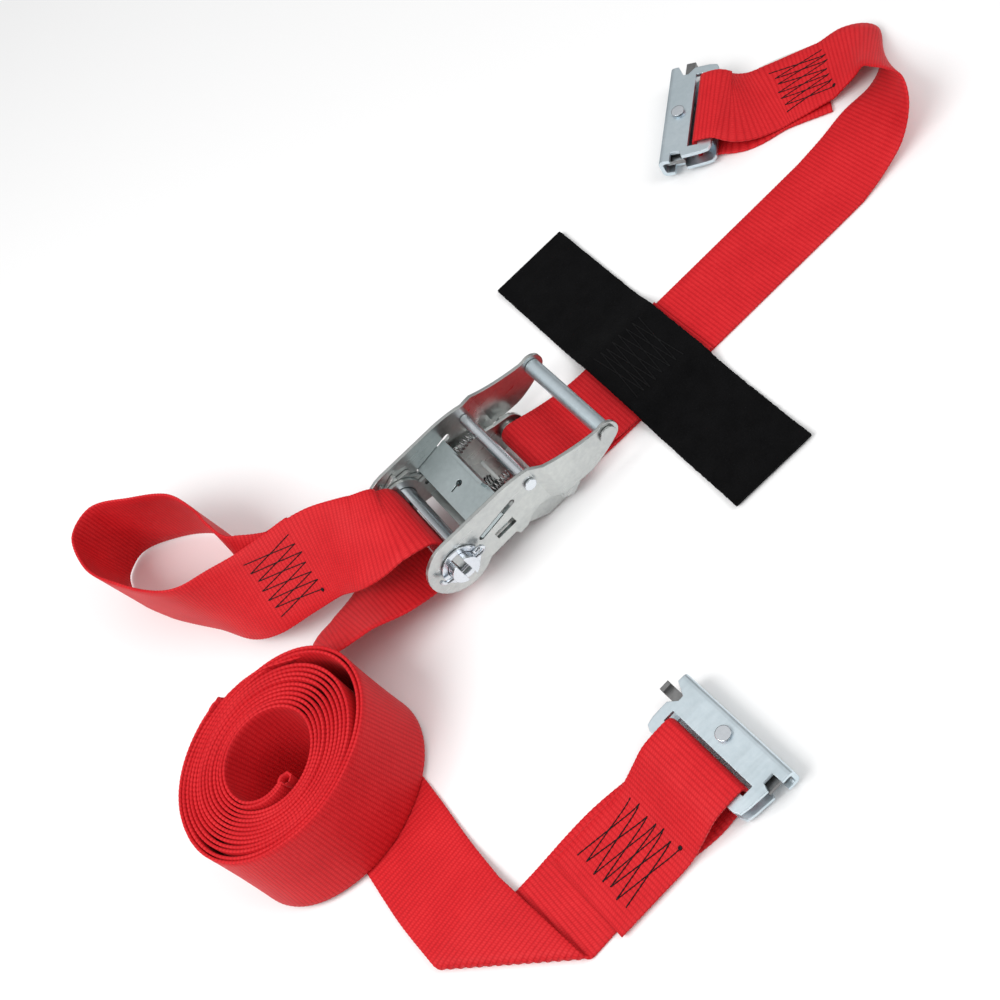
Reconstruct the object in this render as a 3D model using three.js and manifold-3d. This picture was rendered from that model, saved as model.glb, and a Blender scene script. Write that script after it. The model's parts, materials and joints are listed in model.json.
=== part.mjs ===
// Ratchet strap for logistic track: a short wide-handled ratchet buckle, a fixed webbing end with a
// hook-and-loop tie, a long webbing strap kept as a roll, and a spring fitting on each end.
// Millimetres, +Z up. Everything is laid out from the foot of the spindle, with the strap line along
// +X, and moved to the middle of the whole plan at the end.
import * as THREE from 'three';
import { mergeVertices } from 'three/addons/utils/BufferGeometryUtils.js';
import Module from 'manifold-3d';

const wasm = await Module();
wasm.setup();

// ---------------------------------------------------------------- driving dimensions
const WEB_WIDTH = 50;
const WEB_THICK = 2.2;
const GAP = 0.3;

const SPINDLE_Z = 30;
const SPINDLE_RADIUS = 8;
const SPINDLE_SLOT = 5;
const SPINDLE_HALF_LENGTH = 38.4;
const WHEEL_TIP_RADIUS = 16.5;
const WHEEL_ROOT_RADIUS = 13;
const WHEEL_TEETH = 11;

const FRAME_INNER = 25.4;
const FRAME_PLATE = 2;
const WHEEL_INNER = FRAME_INNER + FRAME_PLATE + GAP;
const WHEEL_PLATE = 2.4;
const HANDLE_INNER = WHEEL_INNER + WHEEL_PLATE + GAP;
const HANDLE_PLATE = 2;
const HANDLE_FLARE = 3;
const HANDLE_OUTER = HANDLE_INNER + HANDLE_PLATE;
const GRIP_INNER = HANDLE_INNER + HANDLE_FLARE;
const GRIP_OUTER = GRIP_INNER + HANDLE_PLATE;

const BOLT = { x: 67, z: 11, radius: 5 };
const GRIP = { x: 99, z: 26, radius: 4.6, pinRadius: 3 };
const CROSS_BAR = { x: 53, z: 37, radius: 3.1 };
const PAWL_PLATE = 2.4;
const DRIVE_PAWL_ANGLE = THREE.MathUtils.degToRad(9);
const LOCK_PAWL_ANGLE = THREE.MathUtils.degToRad(-10);

const TIE = { x: 144.3, y: 5, heading: 89, width: 50.8, length: 222, thick: 2.4 };

const ROLL = { x: -130, y: -50, inner: 20, outer: 55.5, bottom: 2.7 };

const FITTING = { front: 17, rear: -14, bottom: 3.2, height: 12, plate: 2.2, slotRear: -6, slotHalf: 26.5 };
const FITTING_1 = { x: 270.5, y: 98.5, heading: 133 };
const FITTING_2 = { x: 27, y: -195, heading: 2.5 };

const PLAN_CENTRE = { x: 93.2, y: -26.5 };

// ---------------------------------------------------------------- materials
const zinc = (color, roughness) => new THREE.MeshStandardMaterial({ color, roughness, metalness: 0.9 });
const cloth = (color) => new THREE.MeshStandardMaterial({ color, roughness: 0.85, metalness: 0 });

const plateZinc = zinc(0xc9cbc6, 0.3);
const brightZinc = zinc(0xd6dce0, 0.25);
const blueZinc = zinc(0xc3d3da, 0.35);
const darkSteel = zinc(0x6f7072, 0.4);
const redWebbing = cloth(0xd8222c);
const blackLoop = cloth(0x111113);
const whiteLabel = cloth(0xf2f2ee);

// ---------------------------------------------------------------- shape helpers
function toSolid(geometry) {
  const bare = geometry.clone();
  bare.deleteAttribute('normal');
  bare.deleteAttribute('uv');
  const merged = mergeVertices(bare, 1e-4);
  return new wasm.Manifold(new wasm.Mesh({
    numProp: 3,
    vertProperties: Float32Array.from(merged.attributes.position.array),
    triVerts: Uint32Array.from(merged.index.array),
  }));
}

function toGeometry(solid) {
  const mesh = solid.getMesh();
  const geometry = new THREE.BufferGeometry();
  geometry.setAttribute('position', new THREE.BufferAttribute(mesh.vertProperties, 3));
  geometry.setIndex(new THREE.BufferAttribute(mesh.triVerts, 1));
  geometry.computeVertexNormals();
  return geometry;
}

// A side-view outline (x, z) made into a plate between two y values.
function sidePlate(shape, yFrom, yTo, curveSegments = 8) {
  const geometry = new THREE.ExtrudeGeometry(shape, { depth: yTo - yFrom, bevelEnabled: false, curveSegments });
  return geometry.rotateX(Math.PI / 2).translate(0, yTo, 0);
}

// A plan-view outline (x, y) made into a plate between two z values.
function planPlate(shape, zFrom, zTo, curveSegments = 6) {
  const geometry = new THREE.ExtrudeGeometry(shape, { depth: zTo - zFrom, bevelEnabled: false, curveSegments });
  return geometry.translate(0, 0, zFrom);
}

function rod(radius, yFrom, yTo, x, z, sides = 24) {
  const geometry = new THREE.CylinderGeometry(radius, radius, yTo - yFrom, sides);
  return geometry.translate(x, (yFrom + yTo) / 2, z);
}

function block(xFrom, xTo, yFrom, yTo, zFrom, zTo) {
  const geometry = new THREE.BoxGeometry(xTo - xFrom, yTo - yFrom, zTo - zFrom);
  return geometry.translate((xFrom + xTo) / 2, (yFrom + yTo) / 2, (zFrom + zTo) / 2);
}

function outline(points, holes = []) {
  const shape = new THREE.Shape(points.map(([x, y]) => new THREE.Vector2(x, y)));
  shape.holes = holes;
  return shape;
}

function circle(x, y, radius) {
  return new THREE.Path().absarc(x, y, radius, 0, 2 * Math.PI, false);
}

function mesh(name, geometry, material) {
  const result = new THREE.Mesh(geometry, material);
  result.name = name;
  return result;
}

function join(geometries) {
  return geometries.slice(1).reduce((whole, next) => whole.add(toSolid(next)), toSolid(geometries[0]));
}

// A flat band laid along stations. Each station has a centre point and the vector to its left edge.
function band(stations, thickness) {
  const steps = stations.length - 1;
  const geometry = new THREE.BoxGeometry(1, 1, 1, steps, 1, 1);
  const position = geometry.attributes.position;
  const normals = stations.map((station, i) => {
    const before = stations[Math.max(i - 1, 0)].centre;
    const after = stations[Math.min(i + 1, steps)].centre;
    return after.clone().sub(before).cross(station.edge).normalize();
  });
  for (let v = 0; v < position.count; v += 1) {
    const i = Math.round((position.getX(v) + 0.5) * steps);
    const point = stations[i].centre.clone();
    point.addScaledVector(stations[i].edge, 2 * position.getY(v));
    point.addScaledVector(normals[i], thickness * position.getZ(v));
    position.setXYZ(v, point.x, point.y, point.z);
  }
  return geometry;
}

const vec = (x, y, z) => new THREE.Vector3(x, y, z);
const station = (centre, edge) => ({ centre: vec(...centre), edge: vec(...edge) });

// Stations on a smooth curve through hand-placed ones; the edge vector keeps the half width.
function smoothStations(controls, count, halfWidth = WEB_WIDTH / 2) {
  const line = new THREE.CatmullRomCurve3(controls.map((c) => c.centre), false, 'centripetal');
  const edges = new THREE.CatmullRomCurve3(controls.map((c) => c.edge), false, 'centripetal');
  return Array.from({ length: count + 1 }, (unused, i) => {
    const along = i / count;
    const tangent = line.getTangent(along);
    const edge = edges.getPoint(along);
    edge.addScaledVector(tangent, -edge.dot(tangent));
    return { centre: line.getPoint(along), edge: edge.setLength(halfWidth) };
  });
}

// Stations around a straight axis (along the edge vector), turning from one angle to another.
function turnStations(axis, edge, ahead, up, radius, fromDegrees, toDegrees, count) {
  return Array.from({ length: count + 1 }, (unused, i) => {
    const angle = THREE.MathUtils.degToRad(fromDegrees + ((toDegrees - fromDegrees) * i) / count);
    const centre = axis.clone();
    centre.addScaledVector(ahead, radius * Math.cos(angle));
    centre.addScaledVector(up, radius * Math.sin(angle));
    return { centre, edge: edge.clone() };
  });
}

// A round wire through points.
function wire(points, radius, steps, sides = 6) {
  const path = new THREE.CatmullRomCurve3(points.map((p) => vec(...p)), false, 'centripetal');
  const section = new THREE.Shape().absarc(0, 0, radius, 0, 2 * Math.PI, false);
  const options = { steps, extrudePath: path, curveSegments: sides };
  return new THREE.ExtrudeGeometry(section, options);
}

class Helix extends THREE.Curve {
  constructor(radius, length, turns) {
    super();
    Object.assign(this, { radius, length, turns });
  }

  getPoint(along, target = new THREE.Vector3()) {
    const angle = 2 * Math.PI * this.turns * along;
    return target.set(this.length * along, this.radius * Math.cos(angle), this.radius * Math.sin(angle));
  }
}

// A compression spring lying along +X from the origin.
function spring(radius, wireRadius, length, turns) {
  const section = new THREE.Shape().absarc(0, 0, wireRadius, 0, 2 * Math.PI, false);
  const options = { steps: turns * 8, extrudePath: new Helix(radius, length, turns), curveSegments: 3 };
  return new THREE.ExtrudeGeometry(section, options);
}

// ---------------------------------------------------------------- ratchet frame
function frameSideOutline() {
  const shape = new THREE.Shape();
  shape.absarc(0, SPINDLE_Z, 13, THREE.MathUtils.degToRad(-70), THREE.MathUtils.degToRad(4), true);
  shape.lineTo(36, 30.5);
  shape.lineTo(62, 21.5);
  shape.absarc(BOLT.x, BOLT.z, 9.5, THREE.MathUtils.degToRad(60), THREE.MathUtils.degToRad(-90), true);
  shape.lineTo(50, 1.5);
  shape.lineTo(32, 13);
  shape.lineTo(12, 16);
  return shape;
}

// The slot that a pawl's ears slide in, along a line from the spindle axis.
function pawlSlot(angle, from, to, halfHeight) {
  const shape = new THREE.Shape();
  shape.absarc(to - halfHeight, 0, halfHeight, -Math.PI / 2, Math.PI / 2, false);
  shape.absarc(from + halfHeight, 0, halfHeight, Math.PI / 2, (3 * Math.PI) / 2, false);
  const depth = 2 * GRIP_OUTER + 10;
  return sidePlate(shape, -depth / 2, depth / 2, 6).rotateY(-angle).translate(0, 0, SPINDLE_Z);
}

function frame() {
  const sides = [-1, 1].map((side) => {
    const inner = side * FRAME_INNER;
    const outer = side * (FRAME_INNER + FRAME_PLATE);
    return sidePlate(frameSideOutline(), Math.min(inner, outer), Math.max(inner, outer));
  });
  const floorShape = outline([[57, 1.5], [50, 1.5], [32, 13], [12, 16], [12, 18.2], [33, 15.2], [51, 3.7], [57, 3.7]]);
  const floor = sidePlate(floorShape, -FRAME_INNER - 1, FRAME_INNER + 1);
  const springTab = block(42.5, 44.5, -9, 9, 6.5, 28);
  const window = block(17, 28, -15, 15, 0, 22);
  const spindleBore = rod(SPINDLE_RADIUS + 0.4, -40, 40, 0, SPINDLE_Z, 32);
  const boltBore = rod(BOLT.radius + 0.2, -40, 40, BOLT.x, BOLT.z, 24);
  const slot = pawlSlot(LOCK_PAWL_ANGLE, 14.5, 38, PAWL_PLATE / 2 + 0.5);
  let solid = join([floor, ...sides, springTab]);
  [window, spindleBore, boltBore, slot].forEach((cutter) => {
    solid = solid.subtract(toSolid(cutter));
  });
  return mesh('frame', toGeometry(solid), plateZinc);
}

function hexPrism(acrossCorners, yFrom, yTo, x, z) {
  return rod(acrossCorners / 2, yFrom, yTo, x, z, 6);
}

function frameBolt() {
  const headInner = FRAME_INNER + FRAME_PLATE + GAP;
  const shank = rod(BOLT.radius, -headInner - 4.6, headInner + 1, BOLT.x, BOLT.z);
  const head = hexPrism(14.5, headInner, headInner + 3.6, BOLT.x, BOLT.z);
  return mesh('frame_bolt', toGeometry(join([shank, head])), plateZinc);
}

function frameNut() {
  const inner = FRAME_INNER + FRAME_PLATE + GAP;
  const nut = toSolid(hexPrism(14.5, -inner - 3.6, -inner, BOLT.x, BOLT.z));
  const bore = toSolid(rod(BOLT.radius + 0.15, -inner - 5, -inner + 1, BOLT.x, BOLT.z));
  return mesh('frame_bolt_nut', toGeometry(nut.subtract(bore)), plateZinc);
}

// ---------------------------------------------------------------- pawls
// A pawl plate lying along +X from the spindle axis, turned to its angle.
function pawlPlate(tip, end, halfSpan, earTip, earEnd, earSpan) {
  const plate = block(tip + 3, end, -halfSpan, halfSpan, -PAWL_PLATE / 2, PAWL_PLATE / 2);
  const ears = block(earTip, earEnd, -earSpan, earSpan, -PAWL_PLATE / 2, PAWL_PLATE / 2);
  return join([plate, ears]);
}

function drivePawl() {
  const tip = WHEEL_TIP_RADIUS + 0.5;
  const lip = block(36, 38, -14, 14, -PAWL_PLATE / 2, 6);
  const hole = rod(1.9, -5, 5, 0, 0, 16).rotateX(Math.PI / 2).translate(28, 2, 0);
  const slit = block(22, 27, 1.6, 2.4, -5, 5);
  let solid = pawlPlate(tip, 38, HANDLE_INNER - GAP, tip, 33, HANDLE_OUTER - 0.2).add(toSolid(lip));
  solid = solid.subtract(toSolid(hole)).subtract(toSolid(slit));
  const geometry = toGeometry(solid).rotateY(-DRIVE_PAWL_ANGLE).translate(0, 0, SPINDLE_Z);
  return mesh('drive_pawl', geometry, blueZinc);
}

function lockPawl() {
  const tip = WHEEL_TIP_RADIUS + 0.5;
  const solid = pawlPlate(tip, 33, FRAME_INNER - GAP, tip, 32, WHEEL_INNER + WHEEL_PLATE);
  const geometry = toGeometry(solid).rotateY(-LOCK_PAWL_ANGLE).translate(0, 0, SPINDLE_Z);
  return mesh('lock_pawl', geometry, darkSteel);
}

function pawlSpring(name, angle, from, length, y) {
  const geometry = spring(2.2, 0.45, length, 5).translate(from, y, 0);
  geometry.rotateY(-angle).translate(0, 0, SPINDLE_Z);
  return mesh(name, geometry, darkSteel);
}

// ---------------------------------------------------------------- spindle
function spindleHalf(name, side) {
  const flat = SPINDLE_SLOT / 2;
  const sweep = Math.acos(flat / SPINDLE_RADIUS);
  const shape = new THREE.Shape();
  shape.absarc(0, SPINDLE_Z, SPINDLE_RADIUS, -sweep, sweep, false);
  const half = toSolid(sidePlate(shape, -SPINDLE_HALF_LENGTH, SPINDLE_HALF_LENGTH, 14));
  let solid = side > 0 ? half : half.mirror([1, 0, 0]);
  [-1, 1].forEach((end) => {
    const hole = new THREE.CylinderGeometry(1.7, 1.7, 30, 14).rotateZ(Math.PI / 2);
    solid = solid.subtract(toSolid(hole.translate(0, end * 36, SPINDLE_Z)));
  });
  return mesh(name, toGeometry(solid), brightZinc);
}

function ratchetWheel(name, side) {
  const shape = new THREE.Shape();
  for (let tooth = 0; tooth < WHEEL_TEETH; tooth += 1) {
    const start = (2 * Math.PI * tooth) / WHEEL_TEETH;
    const pitch = (2 * Math.PI) / WHEEL_TEETH;
    const corners = [[0, WHEEL_ROOT_RADIUS], [0.12, WHEEL_TIP_RADIUS], [0.3, WHEEL_TIP_RADIUS - 0.4]];
    corners.forEach(([share, radius], i) => {
      const angle = start + share * pitch;
      const method = tooth === 0 && i === 0 ? 'moveTo' : 'lineTo';
      shape[method](radius * Math.cos(angle), SPINDLE_Z + radius * Math.sin(angle));
    });
  }
  const inner = side * WHEEL_INNER;
  const outer = side * (WHEEL_INNER + WHEEL_PLATE);
  let solid = toSolid(sidePlate(shape, Math.min(inner, outer), Math.max(inner, outer)));
  const web = toSolid(block(-SPINDLE_SLOT / 2 + GAP, SPINDLE_SLOT / 2 - GAP, -45, 45, 0, 60));
  const bore = toSolid(rod(SPINDLE_RADIUS + 0.3, -45, 45, 0, SPINDLE_Z, 32));
  solid = solid.subtract(bore.subtract(web));
  return mesh(name, toGeometry(solid), darkSteel);
}

function spindleWasher(name, side) {
  const inner = side * (HANDLE_OUTER + GAP);
  const outer = side * (HANDLE_OUTER + GAP + 1);
  const shape = new THREE.Shape().absarc(0, SPINDLE_Z, 11.5, 0, 2 * Math.PI, false);
  shape.holes = [circle(0, SPINDLE_Z, SPINDLE_RADIUS + 0.3)];
  return mesh(name, sidePlate(shape, Math.min(inner, outer), Math.max(inner, outer), 20), brightZinc);
}

// A split pin through both spindle halves: a looped head, a straight shank and a bent tip.
function cotterPin(name, side) {
  const y = side * 36;
  const points = [[9.5, y, 3.2], [12.5, y, 3.4], [14, y, 0.6], [11.5, y, -0.6], [8, y, 0]];
  points.push([0, y, 0], [-9, y, 0], [-12.5, y, 1.6], [-13.4, y, 4.4]);
  const geometry = wire(points, 1.15, 36, 3).translate(0, 0, SPINDLE_Z);
  return mesh(name, geometry, brightZinc);
}

// ---------------------------------------------------------------- handle
function handleOutline() {
  const shape = new THREE.Shape();
  const end = THREE.MathUtils.degToRad(-47);
  shape.absarc(0, SPINDLE_Z, 19.3, end, Math.PI / 2, true);
  shape.lineTo(38, 48.6);
  shape.quadraticCurveTo(54, 47.6, 64, 42);
  shape.quadraticCurveTo(76, 36, 94, 32.6);
  shape.absarc(GRIP.x, GRIP.z, 7, THREE.MathUtils.degToRad(110), THREE.MathUtils.degToRad(-60), true);
  shape.quadraticCurveTo(90, 13.2, 80, 12.8);
  shape.quadraticCurveTo(64, 14, 50, 18.5);
  shape.lineTo(44, 17.6);
  shape.lineTo(38, 13.4);
  shape.lineTo(32.6, 13);
  shape.lineTo(31.4, 16.4);
  return shape;
}

// The sheet that the handle plate is cut from: flat near the spindle, set outwards near the grip.
function flaredSheet(side) {
  const near = HANDLE_INNER * side;
  const far = GRIP_INNER * side;
  const thick = HANDLE_PLATE * side;
  const points = [[-25, near], [57, near], [63.4, far], [110, far]];
  const back = [[110, far + thick], [63, far + thick], [56.6, near + thick], [-25, near + thick]];
  const loop = points.concat(back);
  return planPlate(outline(side > 0 ? loop : loop.reverse()), 0, 60);
}

function handlePlate(name, side) {
  const blank = toSolid(sidePlate(handleOutline(), -45, 45, 10));
  let solid = blank.intersect(toSolid(flaredSheet(side)));
  const cutters = [
    rod(SPINDLE_RADIUS + 0.4, -45, 45, 0, SPINDLE_Z, 32),
    rod(GRIP.pinRadius + 0.2, -45, 45, GRIP.x, GRIP.z, 20),
    rod(2.2, -45, 45, CROSS_BAR.x, CROSS_BAR.z, 16),
    pawlSlot(DRIVE_PAWL_ANGLE, 15.5, 42, PAWL_PLATE / 2 + 0.5),
    block(22.5, 35, -45, 45, 22.3, 27.3),
  ];
  cutters.forEach((cutter) => {
    solid = solid.subtract(toSolid(cutter));
  });
  return mesh(name, toGeometry(solid), plateZinc);
}

function gripTube() {
  const half = GRIP_INNER - GAP;
  const tube = toSolid(rod(GRIP.radius, -half, half, GRIP.x, GRIP.z, 28));
  const bore = toSolid(rod(GRIP.pinRadius + 0.4, -half - 1, half + 1, GRIP.x, GRIP.z, 20));
  return mesh('grip_tube', toGeometry(tube.subtract(bore)), blueZinc);
}

function rivetPin(name, x, z, radius, headRadius, inner) {
  const outer = inner + HANDLE_PLATE + GAP;
  const shank = rod(radius, -outer - 0.5, outer + 0.5, x, z, 20);
  const heads = [-1, 1].map((side) => {
    const near = Math.min(side * outer, side * (outer + 1.4));
    return rod(headRadius, near, near + 1.4, x, z, 20);
  });
  return mesh(name, toGeometry(join([shank, ...heads])), plateZinc);
}

// The cross bar is shouldered: its ends go through the plates and are riveted over.
function crossBar() {
  const inner = HANDLE_INNER - GAP;
  const outer = HANDLE_OUTER + GAP;
  const { x, z, radius } = CROSS_BAR;
  const shank = rod(2, -outer - 0.5, outer + 0.5, x, z, 16);
  const bar = rod(radius, -inner, inner, x, z, 20);
  const heads = [-1, 1].map((side) => {
    const near = Math.min(side * outer, side * (outer + 1.2));
    return rod(3.4, near, near + 1.2, x, z, 20);
  });
  return mesh('handle_cross_bar', toGeometry(join([shank, bar, ...heads])), brightZinc);
}

// ---------------------------------------------------------------- track fitting
// Local frame: +X leads away from the strap, +Y runs along the fitting, +Z up; x = 0 is the slot's
// front edge.
function fittingBody(name) {
  const plan = outline([
    [-8, -32], [3, -33], [4.5, -29], [10, -29], [10, -35], [18, -35], [18, 35], [11.5, 35], [8, 28], [5, 28],
    [1, 32], [-8, 32], [-12.5, 31], [-14, 28], [-14, -28], [-12.5, -31],
  ]);
  const { slotRear, slotHalf } = FITTING;
  const slot = [[slotRear, -slotHalf], [0, -slotHalf], [0, slotHalf], [slotRear, slotHalf]];
  plan.holes = [new THREE.Path(slot.map(([x, y]) => new THREE.Vector2(x, y))), circle(8, 0, 2.3)];
  const blank = toSolid(planPlate(plan, 0, FITTING.height, 10));

  const { height, plate, rear, front } = FITTING;
  const section = new THREE.Shape();
  section.moveTo(rear - 1, 0);
  section.lineTo(front - 3, 0);
  section.quadraticCurveTo(front, 0, front, 3);
  section.lineTo(front, height - 3);
  section.quadraticCurveTo(front, height, front - 3, height);
  section.lineTo(rear - 1, height);
  section.lineTo(rear - 1, height - plate);
  section.lineTo(front - 4, height - plate);
  section.quadraticCurveTo(front - plate, height - plate, front - plate, height - 4);
  section.lineTo(front - plate, 4);
  section.quadraticCurveTo(front - plate, plate, front - 4, plate);
  section.lineTo(rear - 1, plate);
  const channel = toSolid(sidePlate(section, -40, 40, 4));
  const rib = toSolid(block(-12, -8, -20, 20, plate - 0.2, height - plate + 0.2));
  return mesh(name, toGeometry(blank.intersect(channel.add(rib))), blueZinc);
}

const LATCH = { from: 4.2, to: 7, window: [-2.9, 15] };

function fittingLatch(name) {
  const plate = toSolid(block(2.6, 13.4, -32, 29, LATCH.from, LATCH.to));
  const tab = toSolid(block(3, 8.6, 28, 40, LATCH.from, LATCH.to));
  const curl = toSolid(block(3, 8.6, 38, 40.4, LATCH.from, LATCH.to + 3));
  const window = toSolid(block(5, 11, LATCH.window[0], LATCH.window[1], 0, 12));
  return mesh(name, toGeometry(plate.add(tab).add(curl).subtract(window)), darkSteel);
}

function fittingRivet(name) {
  const middle = FITTING.height / 2;
  const shank = new THREE.CylinderGeometry(2, 2, FITTING.height + 1, 18);
  const heads = [-1, 1].map((side) => {
    const head = new THREE.CylinderGeometry(side > 0 ? 2.9 : 3.9, side > 0 ? 3.9 : 2.9, 1.3, 20);
    return head.translate(0, -side * (middle + GAP + 0.65), 0);
  });
  const geometry = toGeometry(join([shank, ...heads])).rotateX(Math.PI / 2);
  return mesh(name, geometry.translate(8, 0, middle), brightZinc);
}

function fittingSpring(name) {
  const geometry = spring(2, 0.4, 11, 5).rotateZ(Math.PI / 2);
  return mesh(name, geometry.translate(8, 3.1, (LATCH.from + LATCH.to) / 2), darkSteel);
}

function fitting(prefix, { x, y, heading }, flipped) {
  const group = new THREE.Group();
  group.add(fittingBody(`${prefix}_body`));
  group.add(fittingLatch(`${prefix}_latch`));
  group.add(fittingRivet(`${prefix}_rivet`));
  group.add(fittingSpring(`${prefix}_spring`));
  if (flipped) {
    group.rotation.x = Math.PI;
    group.position.z = FITTING.height;
  }
  const placed = new THREE.Group();
  placed.add(group);
  placed.position.set(x, y, FITTING.bottom);
  placed.rotation.z = THREE.MathUtils.degToRad(heading);
  return placed;
}

// ---------------------------------------------------------------- webbing
const HALF = WEB_WIDTH / 2;
const UP = vec(0, 0, 1);
const LAYER_1 = WEB_THICK / 2;
const LAYER_2 = LAYER_1 + WEB_THICK + GAP;

const direction = (degrees) => {
  const angle = THREE.MathUtils.degToRad(degrees);
  return vec(Math.cos(angle), Math.sin(angle), 0);
};
const leftEdge = (degrees) => direction(degrees + 90).multiplyScalar(HALF);

// A flat strap folded under itself on a slanting crease: in on top along one heading, out below.
function foldStations({ x, y, headingIn, headingOut }) {
  const crease = (headingIn + headingOut) / 2;
  const slant = THREE.MathUtils.degToRad(crease - headingIn);
  const radius = (LAYER_2 - LAYER_1) / 2;
  const along = direction(crease).multiplyScalar(HALF / Math.sin(slant));
  const outward = direction(crease - 90);
  const axis = vec(x, y, LAYER_1 + radius);
  return turnStations(axis, along, outward, UP, radius, 90, -90, 6);
}

// Past a slanting crease the strap lies face down, so its left edge is on the other side.
const turnedOver = ({ centre, edge }) => ({ centre, edge: edge.clone().negate() });

// The strap around a fitting's rear bar, from underneath, up the slot and back over the top.
function barStations({ x, y, heading }) {
  const ahead = direction(heading);
  const edge = leftEdge(heading);
  const at = (along, z) => ({
    centre: vec(x, y, z).addScaledVector(ahead, along),
    edge: edge.clone(),
  });
  const top = FITTING.bottom + FITTING.height + GAP + WEB_THICK / 2;
  const bottom = FITTING.bottom - GAP - WEB_THICK / 2;
  return [
    at(-24, LAYER_1), at(-15, bottom), at(-5, bottom), at(-3.6, bottom + 0.5), at(-3, bottom + 1.9),
    at(-3, top - 1.9), at(-3.6, top - 0.5), at(-5, top), at(-15, top), at(-18, top - 1),
  ];
}

// Where the fixed strap lifts, rolls over to the left and comes back down: the left edge of the strap
// as it comes in, and the edge opposite.
const ROLLOVER = [
  [[300, 27, 1.1], [299, -22.5, 3]], [[320.5, 29.4, 1.2], [319, -20, 10]],
  [[339.7, 28.7, 1.3], [331.5, -15.8, 23.5]], [[352, 33, 1.6], [338, -6.7, 30]],
  [[363, 43, 2], [340, 7.6, 27]], [[371.5, 54, 3], [340, 20.5, 22]],
  [[368.5, 62, 5.5], [339.7, 28.7, 18]], [[360, 70, 6.5], [335, 33.5, 11]],
  [[346.5, 76, 5], [322.5, 37.5, 5.2]],
];
const LEAD = [[310, 71, 148, LAYER_2 + 0.4], [296, 79, 144, LAYER_2 + 2.4]];
const STUB = [[308, 71, 148, LAYER_1], [331, 56, 146, LAYER_1]];

// Stations between a strap's two long edges, given as matching pairs of points.
function betweenEdges(pairs, count) {
  const [left, right] = [0, 1].map((side) => {
    const line = new THREE.CatmullRomCurve3(pairs.map((pair) => vec(...pair[side])), false, 'centripetal');
    return Array.from({ length: count + 1 }, (unused, i) => line.getPoint(i / count));
  });
  return left.map((point, i) => ({
    centre: point.clone().add(right[i]).multiplyScalar(0.5),
    edge: point.clone().sub(right[i]).multiplyScalar(0.5),
  }));
}

const laid = ([x, y, heading, z]) => ({ centre: vec(x, y, z), edge: leftEdge(heading) });

function fixedStrap() {
  const across = leftEdge(0);
  const flat = (x, z) => ({ centre: vec(x, 0, z), edge: across.clone() });
  const boltAxis = vec(BOLT.x, 0, BOLT.z);
  const radius = BOLT.radius + GAP + WEB_THICK / 2;
  const loop = turnStations(boltAxis, across, vec(1, 0, 0), UP, radius, 60, 270, 14);
  const start = [flat(172, LAYER_2), flat(116, LAYER_2), flat(108, LAYER_2 + 0.6)];
  const run = [flat(84, LAYER_1 + 0.9), flat(100, LAYER_1), flat(280, LAYER_1)];
  const out = [...LEAD.map(laid), ...barStations(FITTING_1).reverse(), ...STUB.map(laid)].map(turnedOver);
  const stations = [...start, ...loop, ...run, ...betweenEdges(ROLLOVER, 26), ...out];
  return mesh('fixed_strap', band(stations, WEB_THICK), redWebbing);
}

function tie() {
  const half = TIE.length / 2;
  const heights = [[-half, 1.3], [-48, 1.3], [-36, 3.2], [-32, 6.2], [22, 6.2], [26, 3.2], [37, 1.3], [half, 1.3]];
  const ahead = direction(TIE.heading);
  const edge = direction(TIE.heading + 90).multiplyScalar(TIE.width / 2);
  const stations = heights.map(([along, z]) => ({
    centre: vec(TIE.x, TIE.y, z).addScaledVector(ahead, along),
    edge: edge.clone(),
  }));
  return mesh('hook_and_loop_tie', band(stations, TIE.thick), blackLoop);
}

function roll() {
  const { x, y, inner, outer, bottom } = ROLL;
  const top = bottom + WEB_WIDTH;
  const profile = [[inner, bottom], [outer, bottom], [outer, top], [inner, top], [inner, bottom]];
  const ring = new THREE.LatheGeometry(profile.map(([r, z]) => new THREE.Vector2(r, z)), 48);
  return mesh('long_strap_roll', ring.rotateX(Math.PI / 2).translate(x, y, 0), redWebbing);
}

// From the roll's far side, under the roll, over the slanting fold and round fitting 2's rear bar.
const UNDER_ROLL = [[-112, -104, -90, LAYER_1], [-113, -128, -86, LAYER_1 + 1], [-113, -150, -72, LAYER_2]];
const LONG_FOLD = { x: -97.4, y: -197.5, headingIn: -66, headingOut: -3.4 };

function strapToFitting() {
  const [[x]] = UNDER_ROLL;
  const flapY = ROLL.y + ROLL.outer + 2.6;
  const radius = 3;
  const across = leftEdge(-90);
  const corner = turnStations(
    vec(x, flapY - radius, LAYER_1 + radius), across, vec(0, 1, 0), UP, radius, 0, -90, 5);
  const flap = [{ centre: vec(x, flapY, 50), edge: across.clone() }];
  const behind = (distance, z) => ({
    centre: vec(FITTING_2.x, FITTING_2.y, z).addScaledVector(direction(FITTING_2.heading), -distance),
    edge: leftEdge(FITTING_2.heading),
  });
  const lead = [behind(84, LAYER_1)];
  const stub = [behind(26, LAYER_2 + 3), behind(32, LAYER_2), behind(85, LAYER_2)];
  const out = [...lead, ...barStations(FITTING_2), ...stub].map(turnedOver);
  const stations = [...flap, ...corner, ...UNDER_ROLL.map(laid), ...foldStations(LONG_FOLD), ...out];
  return mesh('long_strap_to_fitting', band(stations, WEB_THICK), redWebbing);
}

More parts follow.
